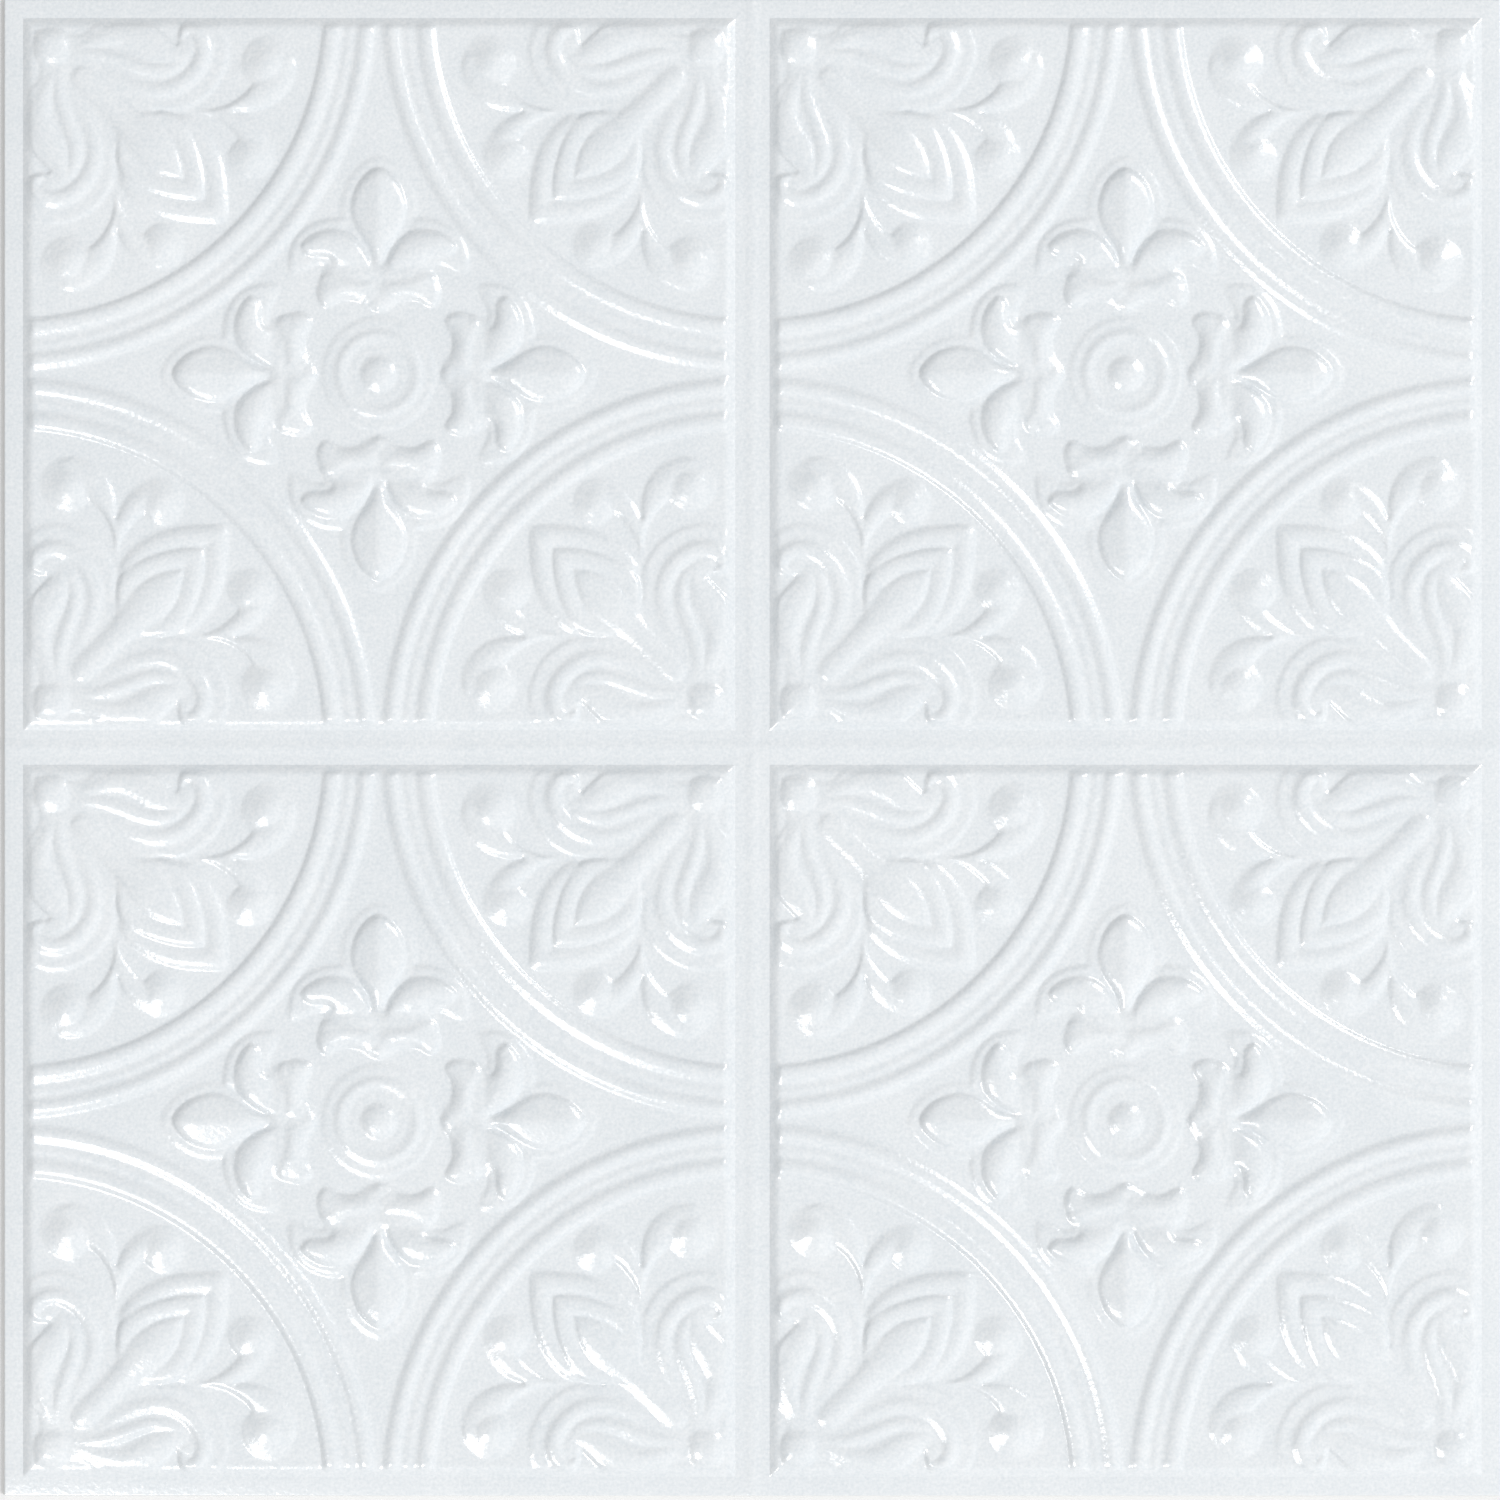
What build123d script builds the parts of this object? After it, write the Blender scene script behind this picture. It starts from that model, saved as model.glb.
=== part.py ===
from build123d import *
from math import radians, sqrt, tan
import os

os.makedirs("parts", exist_ok=True)

# Millimetres. The tile lies face up, +Z out of its face. The origin is the middle of the
# liner's underside, where the tile meets what it lies on.

# Laminate
tile_side = 305.0
liner_thickness = 0.15
adhesive_thickness = 0.2
band_thickness = 1.0

# Raised square fields, two by two, with bands round them and a low bead along the inner bands
square_pitch = 152.2
field_side = 145.0
field_wall_rise = 0.85
field_wall_angle = 30.0
field_brow_rise = 0.4
field_brow_angle = 72.0
band_bead_width = 4.0
band_bead_height = 0.22

# How deep the ornament is set into the field that carries it
root = 0.12

# Quarter ring mouldings, struck from a little outside each corner of a field
ring_centre_outset = 2.8
ring_gap = 0.2
ring_outer_width = 5.45
ring_outer_crest = 2.2
ring_inner_width = 6.35
ring_inner_crest = 2.75
ring_inner_height = 0.98
ring_outer_height = 0.72
ring_valley_height = 0.3
ring_end_margin = 2.0
ring_end_angle = 40.0

# Boss in the middle of each field
boss_height = 1.9
boss_shoulder_radius = 2.6
boss_shoulder_height = 1.45
boss_valley_radius = 5.0
boss_valley_height = 0.5
boss_ring_radius = 7.8
boss_ring_outer = 9.5
boss_ring_height = 0.95
boss_step_height = 0.38
boss_foot_radius = 11.8

# Fleur on each axis of a field, drawn pointing along +Y from the middle of the field
petal_base = (0, 20.0)
petal_waist = (4.5, 29.6)
petal_belly = (5.8, 33.7)
petal_shoulder = (4.2, 37.6)
petal_tip = (0, 42.3)
petal_wall_angle = 22.0
petal_keel_height = 2.3
petal_edge_height = 1.45
petal_keel_angle = 3.5
side_leaf_height = 1.35
base_leaf_height = 1.05

# Palmette in each corner of a field, drawn along Y with the corner at the origin
knob_height = 1.5
stem_height = 1.1
bud_height = 1.75
inner_leaf_height = 1.3
outer_leaf_height = 0.9
scroll_height = 1.0
branch_height = 0.85

adhesive_level = liner_thickness
sheet_level = adhesive_level + adhesive_thickness
band_level = sheet_level + band_thickness
brow_level = band_level + field_wall_rise
field_level = brow_level + field_brow_rise
brow_side = field_side - 2 * field_wall_rise * tan(radians(field_wall_angle))
field_corner = field_side / sqrt(2)
ring_centre = field_side / 2 + ring_centre_outset
ring_foot_outer = ring_centre - ring_gap
ring_valley = ring_foot_outer - ring_outer_width
ring_foot_inner = ring_valley - ring_inner_width

# Release liner
with BuildPart() as release_liner:
    with BuildSketch():
        Rectangle(tile_side, tile_side)
    extrude(amount=liner_thickness)

# Adhesive layer
with BuildPart() as adhesive_layer:
    with BuildSketch(Plane.XY.offset(adhesive_level)):
        Rectangle(tile_side, tile_side)
    extrude(amount=adhesive_thickness)

# One quarter ring moulding: a bead, a valley and a lower bead, turned about Z
with BuildPart() as quarter_ring:
    with BuildSketch(Plane.XZ):
        with BuildLine():
            Polyline(
                (ring_foot_inner, -root),
                (ring_foot_inner + ring_inner_crest, ring_inner_height),
                (ring_valley, ring_valley_height),
                (ring_foot_outer - ring_outer_crest, ring_outer_height),
                (ring_foot_outer, -root),
                close=True,
            )
        make_face()
    revolve(axis=Axis.Z, revolution_arc=90)

# Four of them, facing in from the corners of a field, with ends that slope down to its edge
with BuildPart() as ring_mouldings:
    with BuildSketch(Plane.XY.offset(-root)):
        Rectangle(field_side - 2 * ring_end_margin, field_side - 2 * ring_end_margin)
    extrude(amount=2 * root + ring_inner_height, taper=ring_end_angle)
    with BuildPart(mode=Mode.INTERSECT):
        with PolarLocations(0, 4):
            with Locations((-ring_centre, -ring_centre)):
                add(quarter_ring.part)

# Boss with its ring, turned about the middle of a field
with BuildPart() as boss:
    with BuildSketch(Plane.XZ):
        with BuildLine():
            Polyline(
                (0, -root),
                (0, boss_height),
                (boss_shoulder_radius, boss_shoulder_height),
                (boss_valley_radius, boss_valley_height),
                (boss_ring_radius, boss_ring_height),
                (boss_ring_outer, boss_step_height),
                (boss_foot_radius, -root),
                close=True,
            )
        make_face()
    revolve(axis=Axis.Z)

# Petal with a keel: a steep-walled drop, cut off by a ridged roof that climbs to its tip
with BuildPart() as petal:
    with BuildSketch(Plane.XY.offset(-root)):
        with BuildLine():
            Polyline(petal_base, petal_waist, petal_belly, petal_shoulder, petal_tip)
            mirror(about=Plane.YZ)
        make_face()
    extrude(amount=petal_keel_height + 2 * root, taper=petal_wall_angle)
    roof = Plane.XZ.offset(-petal_shoulder[1]).rotated((petal_keel_angle, 0, 0))
    with BuildSketch(roof):
        with BuildLine():
            Polyline(
                (-petal_tip[1], -petal_tip[1]),
                (petal_tip[1], -petal_tip[1]),
                (petal_belly[0], petal_edge_height),
                (0, petal_keel_height),
                (-petal_belly[0], petal_edge_height),
                close=True,
            )
        make_face()
    extrude(amount=petal_tip[1], both=True, mode=Mode.INTERSECT)


def pressed_form(height, outline, mirrored):
    """A form that stands on the field with a flat top and 45 degree walls. A mirrored outline
    runs up the right-hand side of X = 0 only."""
    with BuildPart() as form:
        with BuildSketch(Plane.XY.offset(-root)):
            with BuildLine():
                Polyline(*outline, close=not mirrored)
                if mirrored:
                    mirror(about=Plane.YZ)
            make_face()
        extrude(amount=height + root)
        chamfer(form.faces().sort_by(Axis.Z)[-1].edges(), length=height)
    return form.part


# Side leaf, curling out from the stem
side_leaf = pressed_form(
    side_leaf_height,
    [
        (0.3, 18.0),
        (8.6, 20.9),
        (10.6, 23.6),
        (16.2, 25.2),
        (13.2, 28.9),
        (9.4, 29.7),
        (5.0, 28.2),
        (2.0, 24.4),
    ],
    mirrored=False,
)

# Base leaves, one to each side of the stem's foot
base_leaves = pressed_form(
    base_leaf_height,
    [
        (0, 12.4),
        (2.6, 13.5),
        (6.2, 14.7),
        (9.8, 13.0),
        (12.6, 15.2),
        (11.6, 18.8),
        (8.2, 20.6),
        (0, 19.0),
    ],
    mirrored=True,
)

with BuildPart() as fleur:
    add([petal.part, base_leaves, side_leaf])
    add(mirror(side_leaf, about=Plane.YZ, mode=Mode.PRIVATE))

# Palmette: a knob, a stem, and a bud wrapped in two pointed leaves
knob = pressed_form(
    knob_height,
    [(0, -12.4), (4.7, -7.8), (0, -3.2)],
    mirrored=True,
)
stem = pressed_form(
    stem_height,
    [(0, -35.0), (2.9, -35.0), (2.9, -18.0), (0, -15.0)],
    mirrored=True,
)
bud = pressed_form(
    bud_height,
    [(0, -46.4), (3.8, -42.0), (4.9, -36.5), (3.2, -31.0), (0, -29.0)],
    mirrored=True,
)
inner_leaf = pressed_form(
    inner_leaf_height,
    [(0, -52.4), (5.4, -46.8), (8.6, -39.5), (7.2, -33.6), (0, -30.5)],
    mirrored=True,
)
outer_leaf = pressed_form(
    outer_leaf_height,
    [(0, -59.2), (6.4, -52.6), (10.4, -44.0), (9.6, -36.6), (0, -31.5)],
    mirrored=True,
)

# Scroll, fanning out from the knob and curling over beside the bud
scroll = pressed_form(
    scroll_height,
    [
        (4.0, -24.0),
        (7.2, -31.6),
        (14.5, -35.2),
        (21.0, -34.4),
        (25.2, -30.0),
        (23.4, -24.2),
        (18.7, -25.6),
        (17.4, -19.0),
        (10.0, -11.4),
        (3.4, -13.2),
    ],
    mirrored=False,
)

# Forked branch with a round end to each arm
branch = pressed_form(
    branch_height,
    [
        (12.0, -38.4),
        (13.8, -47.6),
        (8.4, -52.0),
        (12.4, -57.4),
        (18.4, -51.6),
        (17.3, -44.2),
        (28.0, -49.0),
        (34.4, -42.6),
        (28.4, -36.8),
        (22.9, -42.4),
        (17.4, -42.0),
    ],
    mirrored=False,
)

with BuildPart() as palmette:
    add([knob, stem, bud, inner_leaf, outer_leaf])
    for half in (scroll, branch):
        add(half)
        add(mirror(half, about=Plane.YZ, mode=Mode.PRIVATE))

# All the ornament of one field
with BuildPart() as ornament:
    add(ring_mouldings.part)
    add(boss.part)
    with PolarLocations(0, 4):
        add(fleur.part)
    with PolarLocations(0, 4, start_angle=-45):
        with Locations((0, field_corner)):
            add(palmette.part)

# Bead along the middle of an inner band
with BuildPart() as band_bead:
    with BuildSketch(Plane.XZ):
        with BuildLine():
            Polyline(
                (-band_bead_width / 2, 0),
                (band_bead_width / 2, 0),
                (0, band_bead_height),
                close=True,
            )
        make_face()
    extrude(amount=tile_side / 2, both=True)

# Face sheet
with BuildPart() as face_sheet:
    with BuildSketch(Plane.XY.offset(sheet_level)):
        Rectangle(tile_side, tile_side)
    extrude(amount=band_thickness)
    with BuildSketch(Plane.XY.offset(band_level)):
        with GridLocations(square_pitch, square_pitch, 2, 2):
            Rectangle(field_side, field_side)
    extrude(amount=field_wall_rise, taper=field_wall_angle)
    with BuildSketch(Plane.XY.offset(brow_level)):
        with GridLocations(square_pitch, square_pitch, 2, 2):
            Rectangle(brow_side, brow_side)
    extrude(amount=field_brow_rise, taper=field_brow_angle)
    with Locations((0, 0, field_level)):
        with GridLocations(square_pitch, square_pitch, 2, 2):
            add(ornament.part)
    with Locations((0, 0, band_level)):
        with PolarLocations(0, 2, angular_range=180):
            add(band_bead.part)

release_liner.part.label = "release_liner"
adhesive_layer.part.label = "adhesive_layer"
face_sheet.part.label = "face_sheet"

export_step(release_liner.part, "parts/release_liner.step")
export_step(adhesive_layer.part, "parts/adhesive_layer.step")
export_step(face_sheet.part, "parts/face_sheet.step")
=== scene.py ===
# %% [markdown]
# # Peel and stick backsplash tile
# The real thing is one thin sheet of white PVC, pressed over a carved mould so that four raised
# squares of scrollwork stand up from narrow bands, with a layer of adhesive behind it and a paper
# liner that is peeled away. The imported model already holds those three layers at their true
# places, so this lesson loads it as a fixed frame and gives the pressed face its fine relief.

# %% Load the frame
import bpy
import numpy as np
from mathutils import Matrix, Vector
from mathutils.geometry import delaunay_2d_cdt


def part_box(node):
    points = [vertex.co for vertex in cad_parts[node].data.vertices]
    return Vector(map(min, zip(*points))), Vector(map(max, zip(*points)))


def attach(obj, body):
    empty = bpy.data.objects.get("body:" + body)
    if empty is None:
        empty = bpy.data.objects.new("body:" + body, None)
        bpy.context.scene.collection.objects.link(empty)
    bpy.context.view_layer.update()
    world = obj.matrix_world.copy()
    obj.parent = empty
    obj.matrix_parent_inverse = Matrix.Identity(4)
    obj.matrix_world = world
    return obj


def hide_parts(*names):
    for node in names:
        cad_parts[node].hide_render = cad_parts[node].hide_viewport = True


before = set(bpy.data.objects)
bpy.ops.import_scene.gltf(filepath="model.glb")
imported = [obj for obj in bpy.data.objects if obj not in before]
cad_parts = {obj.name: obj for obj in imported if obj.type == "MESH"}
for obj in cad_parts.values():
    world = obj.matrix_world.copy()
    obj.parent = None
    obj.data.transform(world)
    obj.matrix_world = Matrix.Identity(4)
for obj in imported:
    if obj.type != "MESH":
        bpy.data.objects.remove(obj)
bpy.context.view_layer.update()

# %% [markdown]
# ## Sizes
# Everything is worked out in millimetres, as a mould maker would, and turned to metres when a
# mesh is made. The sheet's own box gives its side and its back. The other sizes say how the four
# squares share the sheet and how high they stand.

# %% Sizes of the sheet
MM = 0.001
sheet_low, sheet_high = (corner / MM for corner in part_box("face_sheet"))
HALF_TILE = sheet_high.x
BACK_LEVEL = sheet_low.z
SHEET_THICKNESS = 1.0
BAND_LEVEL = BACK_LEVEL + SHEET_THICKNESS
PITCH = 152.2       # from the middle of one square to the middle of the next
FIELD_HALF = 72.6   # half the side of a square, at its foot
FIELD_RISE = 1.25   # from the bands to the ground of a square
FIELD_EDGE = 2.1    # how wide the soft brow round a square is
print("bands at", round(BAND_LEVEL, 2), "mm; fields", 2 * FIELD_HALF, "mm across")

# %% [markdown]
# ## Drawing tools for the relief
# Pressed ornament has no sharp corners: each leaf is a ridge that rolls off to its sides and
# ends in a soft wall. It could be sculpted by hand, or pushed up with an image, but a height
# worked out over the plan is exact, and can be changed one number at a time. The first tool
# draws a smooth line through a few points, the way a carver bends a lath round pins.

# %% Smooth lines
def curve(points, steps=8):
    """A smooth line through the points, in short straight runs."""
    p = np.array(points, float)
    q = np.vstack([2 * p[0] - p[1], p, 2 * p[-1] - p[-2]])
    t = np.linspace(0, 1, steps, endpoint=False)[:, None]
    spans = [
        0.5 * (2 * b + (c - a) * t + (2 * a - 5 * b + 4 * c - d) * t**2
               + (3 * b - a - 3 * c + d) * t**3)
        for a, b, c, d in zip(q[:-3], q[1:-2], q[2:-1], q[3:])
    ]
    return np.vstack(spans + [p[-1:]])

def profile(v, points):
    """A smooth profile through (place, height) points, level beyond its ends."""
    line = curve(points)
    return np.interp(v, line[:, 0], line[:, 1])

print("a curve of 3 points has", len(curve([(0, 0), (1, 1), (2, 0)])), "places")

# %% [markdown]
# Every form is then a question of distance: how far a place is from a crest line, and how far it
# is inside an outline. An outline is counted as crossed or not for each of its edges, which
# tells the inside from the outside.

# %% Distances
def nearest(x, y, path):
    """Distance to a path, and how far along it the nearest place is, from 0 to 1."""
    best, place = np.full(x.shape, np.inf), np.zeros(x.shape)
    for i, (a, b) in enumerate(zip(path[:-1], path[1:])):
        run = b - a
        length = run @ run
        if length == 0:
            continue
        t = np.clip(((x - a[0]) * run[0] + (y - a[1]) * run[1]) / length, 0, 1)
        away = (x - a[0] - t * run[0]) ** 2 + (y - a[1] - t * run[1]) ** 2
        closer = away < best
        best, place = np.where(closer, away, best), np.where(closer, i + t, place)
    return np.sqrt(best), place / (len(path) - 1)

def inset(x, y, outline):
    """Distance to a closed outline, positive inside it."""
    loop = np.vstack([outline, outline[:1]])
    away, _ = nearest(x, y, loop)
    inside = np.zeros(x.shape, bool)
    for a, b in zip(loop[:-1], loop[1:]):
        if a[1] != b[1]:
            reach = (b[0] - a[0]) * (y - a[1]) / (b[1] - a[1]) + a[0]
            inside ^= ((a[1] > y) != (b[1] > y)) & (x < reach)
    return np.where(inside, away, -away)

unit_square = np.array([(0, 0), (1, 0), (1, 1), (0, 1)], float)
print("middle of a unit square is", inset(np.array(0.5), np.array(0.5), unit_square), "inside")

# %% [markdown]
# Two surfaces meet in a crease if the higher or the lower one is simply taken. A mould is cut
# with round tools and the hot sheet bridges small hollows, so both choices here blend a little
# where the surfaces cross.

# %% Blends
def ease(t):
    """Goes from 0 to 1 with level ends."""
    t = np.clip(t, 0, 1)
    return t * t * (3 - 2 * t)

def lower(a, b, blend):
    """The lower of two surfaces, rounded where they cross."""
    t = np.clip(0.5 + 0.5 * (b - a) / blend, 0, 1)
    return b + (a - b) * t - blend * t * (1 - t)

def higher(a, b, blend):
    """The higher of two surfaces, filleted where they cross."""
    return -lower(-a, -b, blend)

print("level 1 and level 1.1 blend to", round(float(higher(1.0, 1.1, 0.3)), 3))

# %% [markdown]
# With those, three kinds of form make the whole ornament. A crest is a ridge whose sides fall
# at first gently and then faster, like the back of a leaf. A rib is a round cord that sinks to a
# floor at both sides. A walled form takes any such roof and ends it in a wall along an outline.

# %% Forms
CREST_ROUND = 0.3                 # how softly the top of a ridge is rounded
RIB_FULLNESS = 1.5                # above 1, a rib has a fuller back and steeper sides
WALL_FOOT, WALL_BEND = 1.3, 0.4   # a wall starts steeper at its foot and eases towards its brow

def along(t, heights):
    """Heights given at even steps along a path, for places t along it."""
    return np.interp(t, np.linspace(0, 1, len(heights)), heights)

def crest(x, y, path, heights, fall, swell):
    """A ridge: fall is how steep its sides start, swell how much faster they go on."""
    d, t = nearest(x, y, path)
    d = np.hypot(d, CREST_ROUND) - CREST_ROUND
    return along(t, heights) - fall * d - swell * d * d

def rib(x, y, path, heights, widths, floor):
    """A cord with a full back, its heights and half widths given at even steps along it."""
    d, t = nearest(x, y, path)
    aside = (d / along(t, widths)) ** RIB_FULLNESS
    return floor + (along(t, heights) - floor) * (1 - ease(aside))

def walled(x, y, outline, roof, wall, slope, rounding):
    """A roof that ends in a wall along an outline: wall is how wide the wall bends over, slope
    how steep it is and rounding how softly it meets the roof. Outside the outline it goes below
    the ground, so that a blend with the ground leaves that level."""
    s = inset(x, y, outline)
    side = slope * s * (WALL_FOOT - WALL_BEND * np.clip(s / wall, 0, 1))
    return lower(roof, side, rounding)

def closed(right_half, beyond=4):
    """The outline of a form that crosses the axis, from its right-hand half. It is closed
    beyond the axis, so that no wall runs along that."""
    first, last = right_half[0], right_half[-1]
    return np.vstack([curve(right_half), [(-beyond, last[1]), (-beyond, first[1])]])

print("forms: crest, rib, walled")

# %% [markdown]
# ## Turned forms
# The quarter rings and the boss are struck from a centre, so one profile over the radius says
# all about them. The rings have their centre a little outside the corner of the square: a bead,
# a low bead and an outer bead, with hollows between. The boss is a ball in a ring on a low step.

# %% Profiles of the rings and the boss
RING_CENTRE = 75.3                      # along both axes, from the middle of the square
RING_END_GAP, RING_END_LENGTH = 1.2, 1.8
RING_PROFILE = [
    (62.0, 0.0), (63.7, 0.0), (64.05, 0.12), (64.5, 0.6), (64.95, 0.9), (65.5, 1.02),
    (66.2, 1.05), (67.0, 0.84), (67.7, 0.48), (68.3, 0.3), (68.9, 0.36), (69.6, 0.46),
    (70.2, 0.36), (70.8, 0.28), (71.3, 0.44), (71.9, 0.76), (72.5, 0.94), (73.1, 0.95),
    (73.7, 0.74), (74.3, 0.38), (74.8, 0.07), (75.3, 0.0), (77.0, 0.0),
]
BOSS_FOOT = 11.9
BOSS_PROFILE = [
    (-1.5, 1.72), (0, 1.9), (1.5, 1.74), (2.6, 1.35), (3.4, 0.85), (4.0, 0.57), (5.0, 0.6),
    (6.1, 0.55), (7.0, 0.76), (7.8, 0.97), (8.4, 0.88), (9.0, 0.56), (9.6, 0.39), (10.8, 0.35),
    (11.4, 0.2), (BOSS_FOOT, 0.0), (13.0, 0.0),
]

def rings(u, v, to_edge):
    """The rings' height. They sink into the brow of the square where they reach its edge."""
    height = np.maximum(profile(np.hypot(RING_CENTRE - u, RING_CENTRE - v), RING_PROFILE), 0)
    t = np.clip((to_edge - RING_END_GAP) / RING_END_LENGTH, 0, 1)
    return height * np.sqrt(1 - (1 - t) ** 2)

print("rings stand", max(h for _, h in RING_PROFILE), "mm above the field")

# %% [markdown]
# ## Fleur
# On each axis of the square stands a fleur: a keeled petal, a leaf that curls away to each side,
# and a pair of leaves round the foot of the stem, on two low steps. Only the right half is
# drawn, from the middle of the square outwards along Y, because the left half mirrors it.

# %% Outlines and crests of the fleur
FLEUR_STEP = closed([
    (0, 44.7), (2.5, 43.7), (5, 41.6), (6.9, 38.6), (7.9, 35.2), (7.7, 31.5), (6.0, 28.6),
    (3.0, 26.0), (0, 24.0),
])
LEAF_STEP = np.vstack([
    curve([(7.0, 31.9), (10, 31.8), (13.3, 30.9), (15.7, 29.4), (17.4, 27.4), (18.4, 24.4),
           (18.4, 21.6), (17.7, 20.1)]),
    curve([(17.7, 20.1), (15.2, 21.0), (12.8, 22.1), (9.9, 21.7), (7.5, 20.6), (5.5, 19.6)]),
    [(2.0, 20.0), (2.0, 24.0), (5.0, 29.0)],
])
LEAF_STEP_RISE = [(19.4, 0.0), (20.2, 0.1), (22.4, 0.56), (23.4, 0.64), (25.0, 0.65)]
PETAL = closed([
    (0, 21.8), (0.9, 22.4), (1.4, 24.0), (2.1, 25.7), (3.3, 27.5), (4.6, 29.4), (5.6, 31.7),
    (5.9, 33.9), (5.45, 36.3), (4.4, 38.9), (2.6, 41.0), (1.1, 42.0), (0, 42.3),
])
PETAL_KEEL = [
    (20, 0.5), (22, 0.55), (24, 0.98), (26, 1.7), (28, 2.12), (30, 2.28), (34, 2.4),
    (37, 2.45), (39, 2.3), (41, 1.9), (43, 1.2),
]
KEEL_ROUND, ROOF_FALL = 0.55, 0.27
SIDE_LEAF = np.vstack([
    curve([(0.3, 19.4), (0.9, 21), (1.6, 23), (2.4, 24.8), (3.3, 26.4), (4.4, 27.8), (6.4, 29.2),
           (9.0, 29.8), (11.7, 29.5), (13.8, 28.6), (15.5, 27.3), (16.3, 26.0), (15.6, 24.4)]),
    curve([(15.6, 24.4), (14, 23.6), (11.7, 23.5), (10.1, 23.1), (9.4, 22.0), (9.0, 20.9),
           (7.8, 20.3), (6.0, 20.2), (4.0, 19.9), (2.0, 19.4), (0.3, 19.3)]),
])
SIDE_CREST = curve([
    (1.0, 19.6), (2.0, 21.4), (3.6, 23.2), (6, 24.8), (9, 25.9), (12, 26.4), (14.6, 26.1),
])
SIDE_HEIGHTS = [0.8, 1.0, 1.45, 2.0, 2.26, 2.2, 1.8]
BASE_LEAF = closed([
    (0, 12.5), (2.1, 13.2), (3.8, 14.3), (5.8, 14.9), (7.9, 14.7), (9.7, 13.7), (11.2, 13.5),
    (12.3, 14.7), (12.7, 16.6), (12.4, 18.6), (11.6, 20.4), (9.8, 21.2), (7.8, 20.9),
    (6.2, 20.3), (4.5, 20.0), (2.5, 19.7), (1.0, 20.2), (0, 21.5),
])
BASE_CREST = curve([
    (1.7, 16.6), (3, 17.6), (4.5, 18.0), (6.3, 18.0), (8.2, 17.6), (9.8, 16.8), (11.0, 15.7),
])
BASE_HEIGHTS = [1.25, 1.6, 1.74, 1.78, 1.62, 1.35, 1.1]
BASE_BACK = curve([(6.3, 18.0), (8.0, 18.5), (9.4, 19.4), (10.2, 20.6)])
BASE_BACK_HEIGHTS = [1.76, 1.6, 1.4, 1.2]
# The web joins the foot of a side leaf to the base leaf in front of it
WEB = curve([(0.6, 20.4), (3.0, 20.1), (6.0, 20.3), (8.5, 20.9)])
WEB_HEIGHTS = [0.95, 1.15, 1.2, 0.9]
STEM = np.array([(0, 14.6), (0, 27.0)])
STEM_HEIGHTS = [1.16, 1.0, 0.95, 0.75, 0.6, 0.58, 0.8, 1.2, 1.9]
print("fleur runs from", BASE_LEAF[0][1], "to", FLEUR_STEP[0][1], "mm from the middle")

# %% [markdown]
# The parts of the fleur are laid on one another from the lowest up, the two steps first and the
# petal last. Each is joined to those below with a small fillet, as one pressed sheet is.

# %% The fleur's height over the field
STEM_FOOT, FOOT_FALL = 14, 0.4   # where the stem's ridge starts, how its foot falls off sideways

def fleur(u, v):
    """Height over the field, u across the fleur's axis and v along it."""
    h = higher(0, walled(u, v, FLEUR_STEP, 0.38, 1.5, 0.36, 0.12), 0.1)
    shelf = profile(v, LEAF_STEP_RISE) * np.clip((u - 5.0) / 3.0, 0, 1)
    h = higher(h, walled(u, v, LEAF_STEP, shelf, 1.2, 0.68, 0.15), 0.1)
    foot = STEM_HEIGHTS[0] - FOOT_FALL * u
    stem = np.where(v > STEM_FOOT, crest(u, v, STEM, STEM_HEIGHTS, 0.12, 0.1), foot)
    back = crest(u, v, BASE_BACK, BASE_BACK_HEIGHTS, 0.1, 0.14)
    base = higher(crest(u, v, BASE_CREST, BASE_HEIGHTS, 0.1, 0.12), back, 0.2)
    h = higher(h, walled(u, v, BASE_LEAF, higher(base, stem, 0.15), 2.0, 1.0, 0.5), 0.2)
    h = higher(h, crest(u, v, WEB, WEB_HEIGHTS, 0.1, 0.12), 0.6)
    side = crest(u, v, SIDE_CREST, SIDE_HEIGHTS, 0.08, 0.085)
    h = higher(h, walled(u, v, SIDE_LEAF, side, 1.8, 1.5, 0.7), 0.6)
    aside = np.hypot(u, KEEL_ROUND) - KEEL_ROUND
    roof = profile(v, PETAL_KEEL) - ROOF_FALL * aside
    return higher(h, walled(u, v, PETAL, roof, 1.4, 1.9, 1.3), 0.25)

print("petal's keel is", round(float(fleur(np.array([0.0]), np.array([35.0]))[0]), 2), "mm high")

# %% [markdown]
# ## Palmette
# Each corner holds a palmette, mirrored about the diagonal: a knob and a stem, a pointed bud
# wrapped in two lancet leaves, a ribbed scroll to each side, and a forked branch that ends in
# two balls. Here Y runs along the diagonal from the middle of the square, and X across it. First
# come the forms on the diagonal.

# %% Bud and its two leaves
OUTER_LEAF = closed([
    (0, 43.3), (1.5, 44.7), (2.9, 46.2), (4.8, 48.3), (6.6, 50.6), (8.1, 53), (9.3, 55.6),
    (10.1, 58.5), (10.35, 61.5), (10.0, 64.2), (9.0, 66.3), (7.4, 68.6), (5.4, 70.6), (0, 72),
])
OUTER_CREST = curve([
    (0, 47.2), (1.5, 48.2), (3.3, 50.2), (4.9, 52.2), (6.1, 54.2), (7.0, 56.2), (7.8, 58.5),
    (8.3, 61), (8.3, 63.5),
])
OUTER_HEIGHTS = [1.1, 1.1, 1.08, 1.02, 0.95, 0.9, 0.85, 0.8, 0.8]
INNER_LEAF = closed([
    (0, 49.7), (2.6, 52.2), (4.2, 54.2), (5.6, 56.4), (6.9, 58.8), (7.9, 61.4), (8.5, 64),
    (8.3, 66.2), (7.2, 68.4), (5.5, 70.3), (3.6, 72.2), (2.6, 74),
])
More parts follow.
